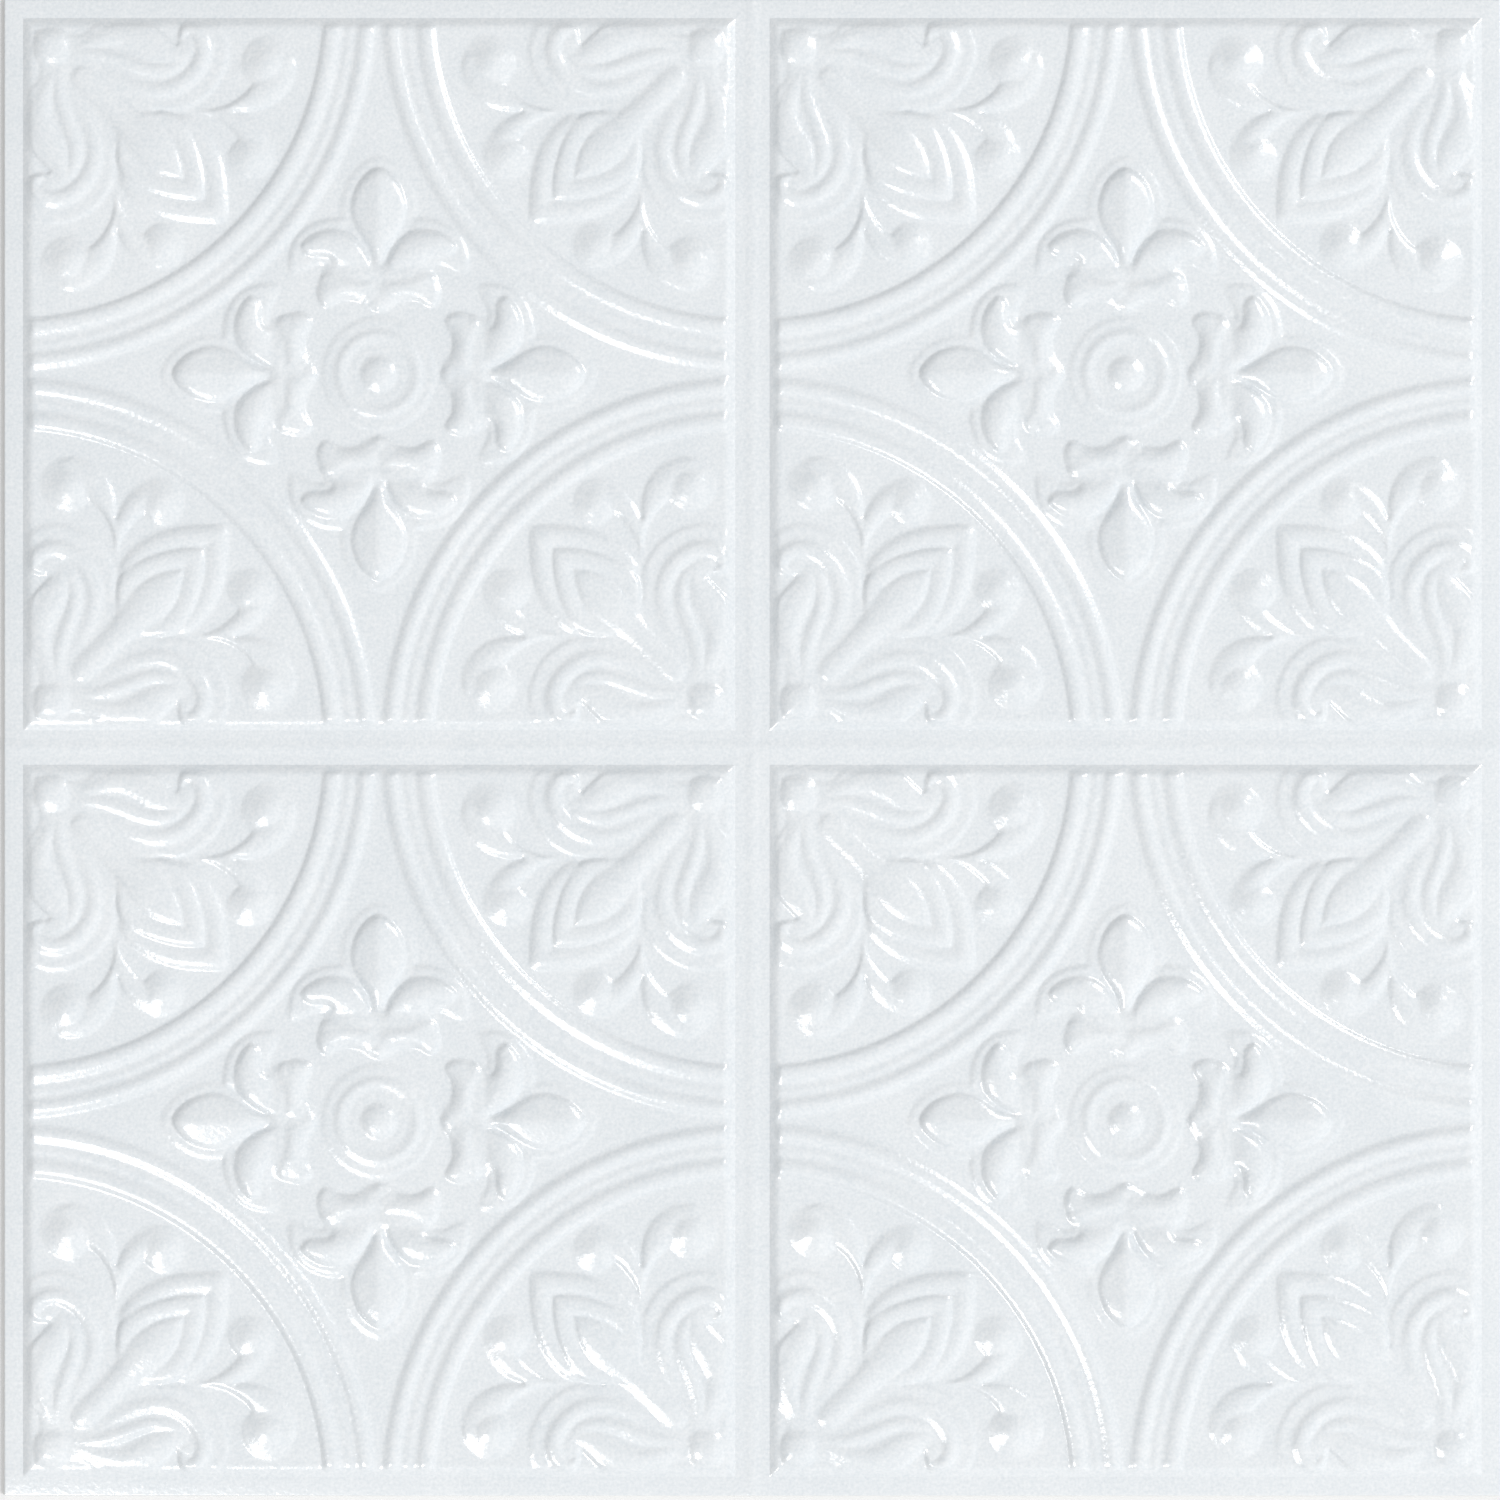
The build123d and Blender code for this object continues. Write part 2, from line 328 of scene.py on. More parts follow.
INNER_CREST = curve([
    (0, 53.2), (1.4, 54.4), (2.7, 56), (3.9, 58), (5.0, 60), (5.7, 62), (6.0, 64), (5.9, 66),
    (5.1, 68.2), (3.9, 70.2),
])
INNER_HEIGHTS = [1.5, 1.5, 1.5, 1.48, 1.45, 1.4, 1.35, 1.28, 1.15, 0.95]
BUD = closed([
    (0, 55.9), (1.0, 57.3), (2.1, 58.7), (3.2, 60.7), (3.9, 62.8), (4.3, 65), (4.4, 67),
    (4.1, 69.4), (3.5, 71.6), (3.0, 73.6), (2.8, 76), (2.8, 80), (2.9, 84), (2.5, 86),
    (1.4, 87.4), (0, 87.8),
])
BUD_SPINE = [
    (55, 1.2), (57, 1.5), (60, 1.85), (64, 2.0), (67, 1.95), (70, 1.7), (73, 1.4), (76, 1.25),
    (80, 1.2), (84, 1.2), (87, 0.95), (89, 0.6),
]
BUD_BEND = [(55, 0.05), (62, 0.05), (68, 0.055), (73, 0.08), (78, 0.1), (88, 0.1)]
BUD_SEAT = [(56, 0.95), (66, 0.8), (71, 0.5), (75, 0.35)]
KNOB = closed([
    (0, 89.4), (1.6, 90.0), (3.0, 91.6), (3.9, 93.2), (4.1, 94.6), (3.6, 95.9), (2.2, 97.5),
    (0, 99.0),
])
KNOB_MIDDLE, KNOB_RISE = 94.8, 1.62
BUD_WALL = 0.9      # how steep the bud's sides are
LEAF_FLOOR = 0.35   # the inner leaves go no lower than this inside their wall

def wrapped_bud(X, Y):
    """Height over the field of the two leaves, with the bud laid on them."""
    outer = crest(X, Y, OUTER_CREST, OUTER_HEIGHTS, 0.1, 0.09)
    h = walled(X, Y, OUTER_LEAF, outer, 1.5, 0.85, 0.4)
    inner = np.maximum(crest(X, Y, INNER_CREST, INNER_HEIGHTS, 0.06, 0.11), LEAF_FLOOR)
    h = higher(h, walled(X, Y, INNER_LEAF, inner, 1.2, 1.5, 0.45), 0.15)
    roof = profile(Y, BUD_SPINE) - profile(Y, BUD_BEND) * X * X
    s = inset(X, Y, BUD)
    side = np.interp(Y, *zip(*BUD_SEAT)) + BUD_WALL * s
    return higher(h, np.where(s > 0, lower(roof, side, 0.4), -1), 0.15)

def knob(X, Y):
    """A dome that falls off faster towards the bud than towards the corner."""
    before, behind = np.maximum(KNOB_MIDDLE - Y, 0), np.maximum(Y - KNOB_MIDDLE, 0)
    dome = KNOB_RISE - 0.055 * X**2 - 0.05 * before**2 - 0.03 * behind**2
    return walled(X, Y, KNOB, dome, 1.5, 0.9, 0.5)

print("bud is", BUD[-3][1] - BUD[0][1], "mm long with its stem")

# %% [markdown]
# The scroll fans out from the knob in ribs that all bend the same way. The lowest rib curls over
# at its end. The ribs lie on a low step, and a wall closes them where they overhang the field.

# %% Scroll
SCROLL_STEP = np.vstack([
    curve([(7.6, 68.2), (8.8, 67.0), (10.5, 65.8), (12.5, 65.1), (15, 64.6), (17.5, 64.6),
           (20, 65.2), (22.5, 66.2), (24.7, 67.7), (26.4, 69.7), (27.3, 71.8), (27.6, 74),
           (27.1, 75.7)]),
    [(24, 77), (19.6, 77.3), (18.3, 76.6), (17.9, 80), (17.7, 84.5)],
    curve([(15.5, 87), (12.5, 89), (10.0, 91.2), (7.8, 91.4), (5.9, 91.9), (4.4, 93.4),
           (3.4, 95.2)]),
    [(-4, 95), (-4, 70), (6.0, 70)],
])
SCROLL = np.vstack([
    curve([(0.4, 90.4), (3.0, 91.9), (5.5, 91.2), (8.0, 90.6), (10.4, 89.6), (12.8, 88.6),
           (15.4, 86.4), (17.4, 84.0), (18.1, 81.5), (18.2, 79), (18.2, 76.6)]),
    curve([(18.2, 76.6), (19.0, 76.9), (20, 77.9), (21.6, 78.7), (23.3, 78.5), (24.6, 77.2),
           (25.2, 75.3), (25.1, 73.2), (24.2, 71.2), (22.5, 69.4), (20.3, 68.2), (17.6, 67.5),
           (14.8, 67.5), (12.2, 68.1), (9.8, 69.3), (7.6, 71), (5.8, 73.2), (4.4, 75.6),
           (3.5, 78.4), (3.1, 81.5), (2.9, 84.5), (1.6, 87.6), (0.4, 88.9)]),
])
SCROLL_FLOOR = 0.42
# Each rib: the points along it, its heights and its half widths at even steps
RIBS = [
    ([(9.0, 88.8), (12.8, 86.8), (15.4, 84.0), (16.6, 81), (17.2, 78.5), (17.4, 76.6)],
     [0.7, 0.85, 0.9, 0.9, 0.85, 0.8],
     [1.8, 2.2, 2.4, 2.4, 2.2, 1.8]),
    ([(4.0, 90.0), (6.0, 89.2), (8.5, 88.0), (11.3, 86), (12.9, 84), (13.9, 82), (14.5, 80),
      (15, 78), (15.6, 76.2), (16.6, 74.7), (17.6, 73.8)],
     [0.6, 0.8, 0.98, 1.12, 1.25, 1.3, 1.3, 1.25, 1.15, 1.0, 0.8],
     [1.2, 1.6, 2.0, 2.4, 3.2, 3.6, 3.8, 3.4, 2.6, 2.0, 1.5]),
    ([(2.6, 89.6), (4.4, 87.8), (5.9, 86), (7.1, 84), (8.1, 82), (9.0, 80), (10.0, 78),
      (11.2, 76.2), (13.2, 74.5), (15.4, 73.5), (17.6, 73.6)],
     [0.6, 0.85, 1.0, 1.08, 1.12, 1.14, 1.14, 1.1, 1.05, 0.95, 0.7],
     [1.1, 1.5, 1.7, 1.8, 1.85, 1.9, 1.9, 1.9, 1.9, 1.7, 1.3]),
    ([(3.6, 84), (4.6, 81.5), (5.3, 79.5), (6.2, 77), (7.2, 75.2), (8.6, 73.2), (10.8, 71.4),
      (14, 70.2), (17.6, 70.1), (20.6, 71.2), (22.3, 73), (23.0, 75.2), (22.5, 76.8),
      (21.4, 77.4), (20.4, 77.2)],
     [0.45, 0.6, 0.72, 0.84, 0.92, 1.0, 1.06, 1.12, 1.2, 1.28, 1.34, 1.32, 1.2, 1.05, 0.85],
     [1.4, 1.6, 1.7, 1.8, 1.9, 2.0, 2.1, 2.2, 2.2, 2.2, 2.2, 2.0, 1.8, 1.5, 1.3]),
]
CURL, CURL_REACH = (20.0, 74.5), 3   # middle of the dome, and how far it goes towards the axis
CURL_RISE, CURL_FALL = 0.78, 0.05

def scroll(X, Y):
    """Height over the field: the ribs over a dome inside the curl, on their low step."""
    h = higher(0, walled(X, Y, SCROLL_STEP, SCROLL_FLOOR, 1.3, 0.55, 0.15), 0.1)
    curl = CURL_RISE - CURL_FALL * ((X - CURL[0]) ** 2 + (Y - CURL[1]) ** 2)
    ribs = np.where(X > CURL[0] - CURL_REACH, np.maximum(curl, 0), 0)
    for path, heights, widths in RIBS:
        ribs = higher(ribs, rib(X, Y, curve(path), heights, widths, SCROLL_FLOOR), 0.15)
    return higher(h, walled(X, Y, SCROLL, ribs, 1.0, 1.2, 0.35), 0.15)

print("scroll has", len(RIBS), "ribs")

# %% [markdown]
# The branch forks: its long arm goes out under the scroll and its short arm goes down beside the
# bud. Each ends in a ball, which is one round profile laid over the arm's end.

# %% Branch with its two balls
BRANCH = np.vstack([
    curve([(11.0, 64.8), (12.5, 62.3), (13.4, 60), (13.8, 57.5), (13.9, 55.2), (13.6, 54.0)]),
    curve([(13.6, 54.0), (12.0, 54.0), (10.0, 53.5), (8.6, 52.1), (8.0, 50.0), (8.7, 47.6),
           (10.7, 45.7), (13.3, 45.0), (15.8, 45.9), (17.7, 48), (18.7, 50.8), (18.6, 53.7),
           (18.1, 56), (17.2, 58.4)]),
    curve([(17.2, 58.4), (19.5, 56.2), (22.8, 54.3), (26.6, 53.6), (30.3, 54.5), (33, 57.0),
           (34.3, 60.4), (33.9, 63.3), (31.9, 65.4), (29, 66.2), (26.2, 65.5), (24.2, 63.7),
           (23.7, 61.3)]),
    curve([(23.5, 60.0), (21.5, 59.8), (19, 60.1), (16.5, 60.9), (14, 62.4), (11.0, 64.8)]),
])
SHORT_ARM = curve([
    (11.6, 64.0), (13.9, 61.4), (15.2, 59), (15.9, 56.5), (16.0, 54), (15.8, 51.6), (14.9, 48.6),
])
SHORT_HEIGHTS = [0.3, 0.6, 0.85, 0.92, 0.95, 0.95, 0.8]
LONG_ARM = curve([
    (11.6, 64.0), (15.3, 61.0), (18.5, 59.0), (21.5, 57.8), (25, 57.0), (28.0, 57.2),
    (31.0, 58.3),
])
LONG_HEIGHTS = [0.3, 0.72, 0.9, 0.98, 1.0, 0.92, 0.8]
BALL_PROFILE = [
    (-1.0, 1.46), (0, 1.55), (1.0, 1.46), (2.0, 1.2), (3.0, 0.84), (4.0, 0.5), (5.0, 0.22),
    (6.0, 0.05), (7.0, 0.0),
]
# Each ball: its middle, and its size and height against the profile
BALLS = [((28.6, 60.9), 1.0, 1.15), ((13.0, 49.9), 0.93, 1.0)]
BRANCH_FLOOR = 0.12   # the arms go no lower than this inside their wall

def branch(X, Y):
    """Height over the field of the two arms with their balls."""
    short = crest(X, Y, SHORT_ARM, SHORT_HEIGHTS, 0.1, 0.12)
    long = crest(X, Y, LONG_ARM, LONG_HEIGHTS, 0.06, 0.08)
    roof = higher(short, long, 0.1)
    for (x, y), size, rise in BALLS:
        ball = rise * profile(np.hypot(X - x, Y - y) / size, BALL_PROFILE)
        roof = higher(roof, np.where(ball > 0, ball, -1), 0.15)
    return walled(X, Y, BRANCH, np.maximum(roof, BRANCH_FLOOR), 1.2, 1.0, 0.35)

def palmette(X, Y):
    """Height over the field of all the forms round the diagonal."""
    h = higher(scroll(X, Y), wrapped_bud(X, Y), 0.15)
    h = higher(h, knob(X, Y), 0.2)
    return higher(h, branch(X, Y), 0.15)

ball_top = palmette(np.array([BALLS[0][0][0]]), np.array([BALLS[0][0][1]]))
print("larger ball is", round(float(ball_top[0]), 2), "mm high")

# %% [markdown]
# ## The whole relief of a square
# A place in the square is folded into one eighth of it: u is its smaller and v its larger
# distance from the axes. The field rises from the bands in a soft brow, and the ornament is laid
# on it.

# %% Height of any place in a square
# Where to work a form out: from and to along its axis, and how far to the side
FLEUR_ZONE = (11, 46, 20)
PALMETTE_ZONE = (42, 100, 36)
# The ornament fades out over a short way at the foot of the brow
FADE_GAP, FADE_LENGTH = 0.2, 2.2

def relief(x, y):
    """Height above the bands of (x, y) in one square, both from its middle and not negative."""
    u, v = np.minimum(x, y), np.maximum(x, y)
    to_edge = FIELD_HALF - v
    t = np.clip(to_edge / FIELD_EDGE, 0, 1)
    field = FIELD_RISE * (ease(t) + 1 - (1 - t) ** 2) / 2
    radius = np.hypot(u, v)
    h = rings(u, v, to_edge)
    h = np.maximum(h, np.where(radius < BOSS_FOOT, profile(radius, BOSS_PROFILE), 0))
    start, end, side = FLEUR_ZONE
    near = (v > start) & (v < end) & (u < side)
    h[near] = np.maximum(h[near], fleur(u[near], v[near]))
    Y, X = (u + v) / np.sqrt(2), (v - u) / np.sqrt(2)
    start, end, side = PALMETTE_ZONE
    near = (Y > start) & (Y < end) & (X < side) & (to_edge > 0)
    h[near] = np.maximum(h[near], palmette(X[near], Y[near]))
    return field + h * ease((to_edge - FADE_GAP) / FADE_LENGTH)

print("boss stands", round(float(relief(np.zeros(1), np.zeros(1))[0]), 2), "mm above the bands")

# %% [markdown]
# ## One eighth of a square
# A square repeats itself: its four quarters are alike, and each is a mirror image about its own
# diagonal. So only one eighth is meshed. Even points would waste faces on the plain ground and
# still blur the crests, so cells are halved only where a flat cell would miss the relief by more
# than 0.01 mm. The last halving, to cells of a quarter millimetre, asks for four times as much,
# which keeps a whole square under 200,000 triangles.

# %% Choose the points and join them into a mesh
STEPS = 288               # finest cells along half a square
COARSE = 32               # finest cells along the side of a cell before it is halved
TOLERANCE = 0.01
FINEST_TOLERANCE = 0.04
SOFTENING = 1             # how many times each place is averaged with its neighbours

def softened(height):
    """The relief as a hot sheet takes it: a sheet this thick can't follow a sharp corner."""
    for _ in range(SOFTENING):
        for axis in (0, 1):
            rows = np.moveaxis(height, axis, 0)
            before, after = np.vstack([rows[1:2], rows[:-1]]), np.vstack([rows[1:], rows[-1:]])
            eased = (before + 2 * rows + after) / 4
            eased[-1] = rows[-1]
            height = np.moveaxis(eased, 0, axis)
    return height

def grid_heights():
    """The relief at every place of the finest grid, of which only the half with x <= y is used."""
    line = np.linspace(0, FIELD_HALF, STEPS + 1)
    x, y = np.meshgrid(line, line, indexing="ij")
    wedge = x <= y
    height = np.zeros(x.shape)
    height[wedge] = relief(x[wedge], y[wedge])
    return line, softened(np.maximum(height, height.T))

def chosen_points(height):
    """Corners of cells that are halved until a flat cell is within the tolerance of the relief."""
    chosen = set()
    cells = [(i, j, COARSE) for i in range(0, STEPS, COARSE) for j in range(i, STEPS, COARSE)]
    while cells:
        i, j, size = cells.pop()
        block = height[i:i + size + 1, j:j + size + 1]
        s = np.linspace(0, 1, size + 1)
        flat = (np.outer(1 - s, 1 - s) * block[0, 0] + np.outer(s, 1 - s) * block[-1, 0]
                + np.outer(1 - s, s) * block[0, -1] + np.outer(s, s) * block[-1, -1])
        allowed = FINEST_TOLERANCE if size == 2 else TOLERANCE
        if size > 1 and np.abs(block - flat).max() > allowed:
            half = size // 2
            cells += [(i + a, j + b, half) for a in (0, half) for b in (0, half) if i + a <= j + b]
        else:
            chosen.update((i + a, j + b) for a in (0, size) for b in (0, size) if i + a <= j + b)
    return np.array(sorted(chosen))

line, height = grid_heights()
spots = chosen_points(height)
flat_points = [Vector((line[i], line[j])) for i, j in spots]
corners, _, faces, *_ = delaunay_2d_cdt(flat_points, [], [], 0, 1e-7)
print(len(spots), "points,", len(faces), "faces in one eighth")

# %% [markdown]
# The eighth is closed below, so that the finished square is a solid that stands a little way
# into the sheet: a skirt goes down from its outer edge, and a fan of faces joins the skirt's
# foot to the middle.

# %% Close the eighth below
FOOT_DEPTH = 0.4

def closed_eighth(spots, faces):
    """The mesh of the eighth, with its faces turned up, its skirt and its underside."""
    points = [(line[i], line[j], BAND_LEVEL + height[i, j]) for i, j in spots]
    polygons = []
    for face in faces:
        (ax, ay), (bx, by), (cx, cy) = (points[k][:2] for k in face)
        turn = (bx - ax) * (cy - ay) - (by - ay) * (cx - ax)
        polygons.append(list(face) if turn > 0 else list(face)[::-1])
    rim = sorted((k for k, (i, j) in enumerate(spots) if j == STEPS), key=lambda k: points[k][0])
    foot = []
    for k in rim:
        foot.append(len(points))
        points.append((points[k][0], points[k][1], BAND_LEVEL - FOOT_DEPTH))
    middle = len(points)
    points.append((0, 0, BAND_LEVEL - FOOT_DEPTH))
    for a, b, low_a, low_b in zip(rim, rim[1:], foot, foot[1:]):
        polygons.append([b, a, low_a, low_b])
        polygons.append([middle, low_b, low_a][::-1])
    mesh = bpy.data.meshes.new("eighth")
    mesh.from_pydata([tuple(c * MM for c in p) for p in points], [], polygons)
    return mesh

eighth = closed_eighth(spots, faces)
print("eighth:", len(eighth.polygons), "polygons")

# %% [markdown]
# ## Materials
# A material is a small tree of shader nodes. Two short functions keep the trees easy to read:
# one turns the colours of a paint chart into the linear values that a shader works in, and one
# adds a node with its settings and its links in a single call.

# %% Helpers for node trees
def linear(hex_colour):
    """An sRGB hex colour as the linear values that a shader socket takes."""
    parts = [int(hex_colour[i:i + 2], 16) / 255 for i in (1, 3, 5)]
    return [p / 12.92 if p <= 0.04045 else ((p + 0.055) / 1.055) ** 2.4 for p in parts] + [1.0]

def add(tree, kind, links=None, **settings):
    """Adds a node; a setting is a property or an input's name, and links is {input: source}."""
    node = tree.nodes.new(kind)
    for name, value in settings.items():
        if hasattr(node, name):
            setattr(node, name, value)
        else:
            node.inputs[name.replace("_", " ")].default_value = value
    for name, source in (links or {}).items():
        tree.links.new(source, node.inputs[name])
    return node

def new_material(name):
    material = bpy.data.materials.new(name)
    material.use_nodes = True
    tree = material.node_tree
    tree.nodes.clear()
    return material, tree

print("white on a paint chart is", linear("#FFFFFF"), "in a shader")

# %% [markdown]
# The tile is calendered rigid PVC, coloured white all through with titanium oxide and pressed
# hot against a polished mould. So it has the soft mirror of gloss paint: a low roughness, and
# the refractive index of PVC, 1.53. Three noises keep it from looking like plaster or glass: two
# tint it, one in faint clouds and one in the fine grain of the calender rolls, and the third is
# the orange peel that a hot sheet takes as it cools. A noise's scale counts its cells along one
# metre, so clouds 55 mm wide need a scale of 18, a grain of 0.7 mm needs 1500, and a peel of
# 1.1 mm needs 900. The real grain and peel are about half as wide, but they would be finer than
# the pixels of a view of the whole tile, so both are drawn coarser.

# %% Gloss white PVC
def gloss_white_pvc():
    material, tree = new_material("gloss_white_pvc")
    place = add(tree, "ShaderNodeTexCoord").outputs["Object"]
    cloud = add(tree, "ShaderNodeTexNoise", {"Vector": place}, Scale=18.0, Detail=7.0,
                Roughness=1.0)
    grain = add(tree, "ShaderNodeTexNoise", {"Vector": place}, Scale=1500.0, Detail=1.0)
    both = add(tree, "ShaderNodeMix", {"A": cloud.outputs["Fac"], "B": grain.outputs["Fac"]},
               Factor=0.5)
    tint = add(tree, "ShaderNodeMix", {"Factor": both.outputs["Result"]}, data_type="RGBA")
    tint.inputs["A"].default_value = linear("#C9D3DA")
    tint.inputs["B"].default_value = linear("#FFFFFF")
    peel = add(tree, "ShaderNodeTexNoise", {"Vector": place}, Scale=900.0, Detail=3.0)
    bump = add(tree, "ShaderNodeBump", {"Height": peel.outputs["Fac"]}, Strength=1.0,
               Distance=0.0001)
    shader = add(tree, "ShaderNodeBsdfPrincipled",
                 {"Base Color": tint.outputs["Result"], "Normal": bump.outputs["Normal"]},
                 Roughness=0.22, IOR=1.53)
    add(tree, "ShaderNodeOutputMaterial", {"Surface": shader.outputs["BSDF"]})
    return material

pvc = gloss_white_pvc()
print("made", pvc.name)

# %% [markdown]
# ## The raised squares
# Geometry Nodes repeat the eighth: it is mirrored, the pair is turned to the four sides of a
# square, and the square is put in its place on the sheet. Mirroring turns faces inside out, so
# those of the mirrored copy are flipped back.

# %% The tree that makes a square from an eighth
def square_tree():
    tree = bpy.data.node_groups.new("raised_square", "GeometryNodeTree")
    tree.interface.new_socket("Geometry", in_out="INPUT", socket_type="NodeSocketGeometry")
    tree.interface.new_socket("Place", in_out="INPUT", socket_type="NodeSocketVector")
    tree.interface.new_socket("Weld", in_out="INPUT", socket_type="NodeSocketFloat")
    tree.interface.new_socket("Finish", in_out="INPUT", socket_type="NodeSocketMaterial")
    tree.interface.new_socket("Geometry", in_out="OUTPUT", socket_type="NodeSocketGeometry")
    given = add(tree, "NodeGroupInput")
    mirrored = add(tree, "GeometryNodeTransform", {"Geometry": given.outputs["Geometry"]},
                   Scale=(-1, 1, 1))
    outward = add(tree, "GeometryNodeFlipFaces", {"Mesh": mirrored.outputs["Geometry"]})
    pair = add(tree, "GeometryNodeJoinGeometry")
    tree.links.new(given.outputs["Geometry"], pair.inputs["Geometry"])
    tree.links.new(outward.outputs["Mesh"], pair.inputs["Geometry"])
    sides = add(tree, "GeometryNodeJoinGeometry")
    for quarter in range(4):
        turned = add(tree, "GeometryNodeTransform", {"Geometry": pair.outputs["Geometry"]},
                     Rotation=(0, 0, quarter * np.pi / 2))
        tree.links.new(turned.outputs["Geometry"], sides.inputs["Geometry"])
    whole = add(tree, "GeometryNodeMergeByDistance",
                {"Geometry": sides.outputs["Geometry"], "Distance": given.outputs["Weld"]})
    placed = add(tree, "GeometryNodeTransform",
                 {"Geometry": whole.outputs["Geometry"], "Translation": given.outputs["Place"]})
    smooth = add(tree, "GeometryNodeSetShadeSmooth", {"Geometry": placed.outputs["Geometry"]})
    real = add(tree, "GeometryNodeRealizeInstances", {"Geometry": smooth.outputs["Geometry"]})
    finished = add(tree, "GeometryNodeSetMaterial",
                   {"Geometry": real.outputs["Geometry"], "Material": given.outputs["Finish"]})
    add(tree, "NodeGroupOutput", {"Geometry": finished.outputs["Geometry"]})
    return tree

def grown(name, mesh, tree, **inputs):
    """The plain mesh that a Geometry Nodes tree makes of a mesh, as an object at the origin."""
    seed = bpy.data.objects.new(name + "_seed", mesh)
    bpy.context.scene.collection.objects.link(seed)
    modifier = seed.modifiers.new("grow", "NODES")
    modifier.node_group = tree
    for socket in tree.interface.items_tree:
        if socket.in_out == "INPUT" and socket.name in inputs:
            modifier[socket.identifier] = inputs[socket.name]
    view = bpy.context.evaluated_depsgraph_get()
    made = bpy.data.meshes.new_from_object(seed.evaluated_get(view), depsgraph=view)
    bpy.data.objects.remove(seed)
    made.name = name
    piece = bpy.data.objects.new(name, made)
    bpy.context.scene.collection.objects.link(piece)
    return piece

print("tree and helper are ready")

# %% [markdown]
# The four squares differ only in their place, which goes in by its socket. The welding distance
# joins the mirrored edges without eating the finest cells. Smooth shading would tilt the light
# on the last row of faces over the skirt, so edges sharper than 60 degrees are marked as sharp.

# %% Four raised squares
WELD = 0.02
SKIRT_ANGLE = 60
tree = square_tree()
squares = []
for row, y in (("back", 1), ("front", -1)):
    for column, x in (("left", -1), ("right", 1)):
        place = (x * PITCH / 2 * MM, y * PITCH / 2 * MM, 0.0)
        square = grown(f"raised_square_{row}_{column}", eighth, tree,
                       Place=place, Weld=WELD * MM, Finish=pvc)
        square.data.set_sharp_from_angle(angle=np.radians(SKIRT_ANGLE))
        squares.append(square)
        triangles = sum(len(p.vertices) - 2 for p in square.data.polygons)
        print(square.name, triangles, "triangles")

# %% [markdown]
# ## The bands
# Round and between the squares the sheet is flat, apart from a low bead that runs down the
# middle of the two inner bands. Its outer edge is cut, with a top corner rounded by the cutter.
# A plane with a bevel could do for this, but the two beads cross in a low point that a grid
# gives for nothing: its lines lie close together only over the beads and at the cut edge.

# %% Bands with their crossing beads
BEAD_HALF, BEAD_RISE, EDGE_ROUND = 2.0, 0.2, 0.3
LAST_FLAT = 4   # the flat grid ends this far inside the cut edge
EDGE_ANGLE = 50

def band_height(x, y):
    """Height of the sheet's face over its back, away from the squares."""
    to_bead = min(abs(x), abs(y)) / BEAD_HALF
    bead = BEAD_RISE * (1 + np.cos(np.pi * min(to_bead, 1))) / 2
    to_cut = HALF_TILE - max(abs(x), abs(y))
    drop = EDGE_ROUND - np.sqrt(max(EDGE_ROUND**2 - max(EDGE_ROUND - to_cut, 0) ** 2, 0))
    return BAND_LEVEL + bead - drop

def band_sheet():
    over_bead = list(np.linspace(0, BEAD_HALF, 6))
    between = list(np.linspace(BEAD_HALF, HALF_TILE - LAST_FLAT, 9)[1:])
    turn = np.linspace(0, np.pi / 2, 5)
    over_edge = list(HALF_TILE - EDGE_ROUND * (1 - np.sin(turn)))
    half = over_bead + between + over_edge
    stops = [-v for v in half[:0:-1]] + half
    n = len(stops)
    points = [(x * MM, y * MM, band_height(x, y) * MM) for x in stops for y in stops]
    points += [(x * MM, y * MM, BACK_LEVEL * MM) for x in stops for y in stops]
    polygons = []
    for i in range(n - 1):
        for j in range(n - 1):
            a, b, c, d = i * n + j, (i + 1) * n + j, (i + 1) * n + j + 1, i * n + j + 1
            polygons.append((a, b, c, d))
            polygons.append((d + n * n, c + n * n, b + n * n, a + n * n))
    rim = ([(i, 0) for i in range(n - 1)] + [(n - 1, j) for j in range(n - 1)]
           + [(i, n - 1) for i in range(n - 1, 0, -1)] + [(0, j) for j in range(n - 1, 0, -1)])
    for (i, j), (k, m) in zip(rim, rim[1:] + rim[:1]):
        a, b = i * n + j, k * n + m
        polygons.append((b, a, a + n * n, b + n * n))
    mesh = bpy.data.meshes.new("face_sheet_bands")
    mesh.from_pydata(points, [], polygons)
    mesh.polygons.foreach_set("use_smooth", [True] * len(mesh.polygons))
    mesh.set_sharp_from_angle(angle=np.radians(EDGE_ANGLE))
    mesh.materials.append(pvc)
    piece = bpy.data.objects.new("face_sheet_bands", mesh)
    bpy.context.scene.collection.objects.link(piece)
    return piece

bands = band_sheet()
print("bands:", len(bands.data.polygons), "faces")

# %% [markdown]
# ## Riding on the frame
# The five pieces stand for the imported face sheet, which is then hidden. They ride on the same
# body as it did, so they move with the part wherever it is posed.

# %% Give the pieces to the frame
for piece in [bands] + squares:
    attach(piece, "root")
    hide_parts("face_sheet")
print("five pieces stand for the face sheet")

# %% [markdown]
# The adhesive and the liner are right as they are and only take better finishes. Both show at
# their cut edges alone. The adhesive is an acrylic that was coated wet, cream in colour, with
# ripples some 0.7 mm wide, so 1500 to the metre. The liner is bleached kraft paper, siliconed on
# the side that peels away, with fibres about 0.4 mm wide, so 2500 to the metre. Cured acrylic
# and sized paper both bend light nearly as window glass does, so both have an index of 1.5.

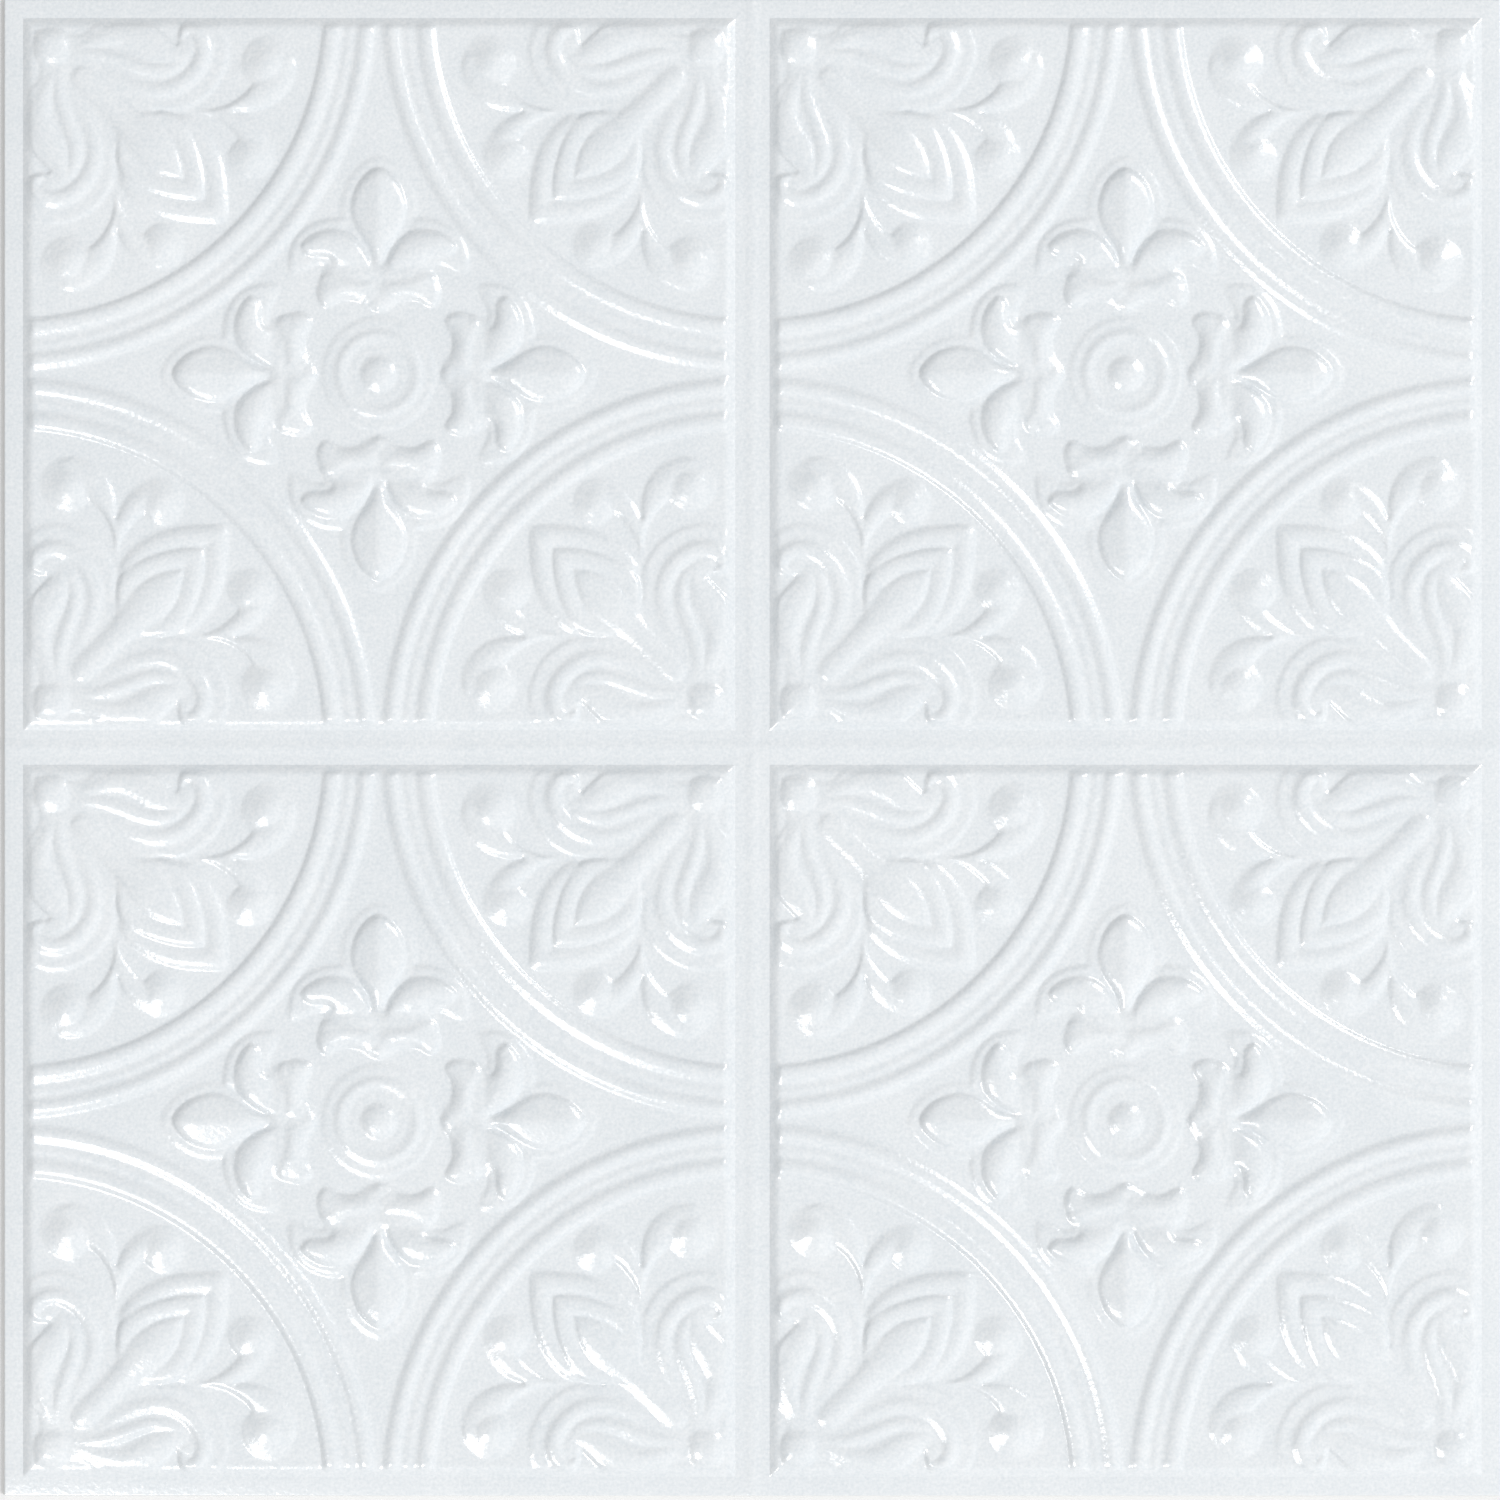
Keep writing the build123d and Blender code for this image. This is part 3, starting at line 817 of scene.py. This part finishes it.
# %% Adhesive and paper
def plain_finish(name, colour, roughness, grain):
    material, tree = new_material(name)
    place = add(tree, "ShaderNodeTexCoord").outputs["Object"]
    fibre = add(tree, "ShaderNodeTexNoise", {"Vector": place}, Scale=grain, Detail=4.0)
    tint = add(tree, "ShaderNodeMix", {"Factor": fibre.outputs["Fac"]}, data_type="RGBA")
    tint.inputs["A"].default_value = linear(colour[0])
    tint.inputs["B"].default_value = linear(colour[1])
    bump = add(tree, "ShaderNodeBump", {"Height": fibre.outputs["Fac"]}, Strength=0.3,
               Distance=0.00002)
    shader = add(tree, "ShaderNodeBsdfPrincipled",
                 {"Base Color": tint.outputs["Result"], "Normal": bump.outputs["Normal"]},
                 Roughness=roughness, IOR=1.5)
    add(tree, "ShaderNodeOutputMaterial", {"Surface": shader.outputs["BSDF"]})
    return material

for node, material in (
    ("adhesive_layer", plain_finish("acrylic_adhesive", ("#E4E2D6", "#ECEBE2"), 0.35, 1500.0)),
    ("release_liner", plain_finish("siliconed_paper", ("#EFEDE6", "#F5F4EF"), 0.5, 2500.0)),
):
    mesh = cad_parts[node].data
    mesh.materials.clear()
    mesh.materials.append(material)
    print(node, "is now", material.name)

# %% [markdown]
# ## Floor
# The tile lies face up on a plain pale floor. A backdrop would do nothing here, because the
# camera looks straight down, so one matt plane is enough. It lies a fifth of a millimetre under
# the liner, so that the two never share a surface.

# %% Floor
FLOOR_HALF, FLOOR_DROP = 4.0, 0.0002

def floor():
    material, tree = new_material("pale_floor")
    shader = add(tree, "ShaderNodeBsdfPrincipled", Roughness=0.8)
    shader.inputs["Base Color"].default_value = linear("#EEEEEE")
    add(tree, "ShaderNodeOutputMaterial", {"Surface": shader.outputs["BSDF"]})
    mesh = bpy.data.meshes.new("floor")
    corners = [(x * FLOOR_HALF, y * FLOOR_HALF, -FLOOR_DROP)
               for x, y in ((-1, -1), (1, -1), (1, 1), (-1, 1))]
    mesh.from_pydata(corners, [], [(0, 1, 2, 3)])
    mesh.materials.append(material)
    piece = bpy.data.objects.new("floor", mesh)
    bpy.context.scene.collection.objects.link(piece)

floor()
print("floor is", 2 * FLOOR_HALF, "m across")

# %% [markdown]
# ## Lights
# White gloss on white shows its form in two ways: by soft shading, and by small hard glints. A
# single lamp that gives both would wash out the one or smear the other. So a wide key lamp, far
# off to the right, gives the shading alone, and two small lamps near the tile, to the back right
# and to the front left, give the glints alone. The two glints on the ball of each boss say where
# those stand. An even white world fills the shadows.

# %% Lights
def soft_box(name, place, width, power, glints):
    """A round lamp that points at the tile, and gives either glints or shading alone."""
    data = bpy.data.lights.new(name, "AREA")
    data.shape = "DISK"
    data.size = width
    data.energy = power
    lamp = bpy.data.objects.new(name, data)
    lamp.location = place
    lamp.rotation_euler = (-Vector(place)).to_track_quat("-Z", "Y").to_euler()
    lamp.visible_diffuse, lamp.visible_glossy = not glints, glints
    bpy.context.scene.collection.objects.link(lamp)
    print(name, "lamp:", power, "W")

soft_box("key", (3.0, -2.2, 4.4), 1.8, 160.0, glints=False)
soft_box("glint_right", (0.384, 0.288, 0.235), 0.14, 2.8, glints=True)
soft_box("glint_left", (-0.205, -0.315, 0.29), 0.13, 1.8, glints=True)

world = bpy.data.worlds.new("studio")
world.use_nodes = True
world.node_tree.nodes["Background"].inputs["Color"].default_value = (1, 1, 1, 1)
world.node_tree.nodes["Background"].inputs["Strength"].default_value = 0.655
bpy.context.scene.world = world

# %% [markdown]
# ## Camera
# The camera looks straight down from so far away that the squares' walls show alike on every
# side. Its lens follows from the frame: the tile's side fills 1497 of the 1500 pixels, at the
# level of the squares' ground. The tile sits a little to the right of the middle and above it,
# so the camera stands half a millimetre the other way.

# %% Camera
FRAME_PIXELS, TILE_PIXELS = 1500, 1497
CAMERA_HEIGHT, CAMERA_ASIDE = 2.4, -0.0005

def camera():
    data = bpy.data.cameras.new("camera")
    data.type = "PERSP"
    data.sensor_width = 36.0
    view_side = 2 * HALF_TILE * MM * FRAME_PIXELS / TILE_PIXELS
    reach = CAMERA_HEIGHT - (BAND_LEVEL + FIELD_RISE) * MM
    data.lens = data.sensor_width * reach / view_side
    data.clip_start, data.clip_end = 0.01, 50
    piece = bpy.data.objects.new("camera", data)
    piece.location = (CAMERA_ASIDE, CAMERA_ASIDE, CAMERA_HEIGHT)
    bpy.context.scene.collection.objects.link(piece)
    bpy.context.scene.camera = piece
    print("lens:", round(data.lens, 1), "mm")

camera()
bpy.context.scene.view_settings.view_transform = "Standard"
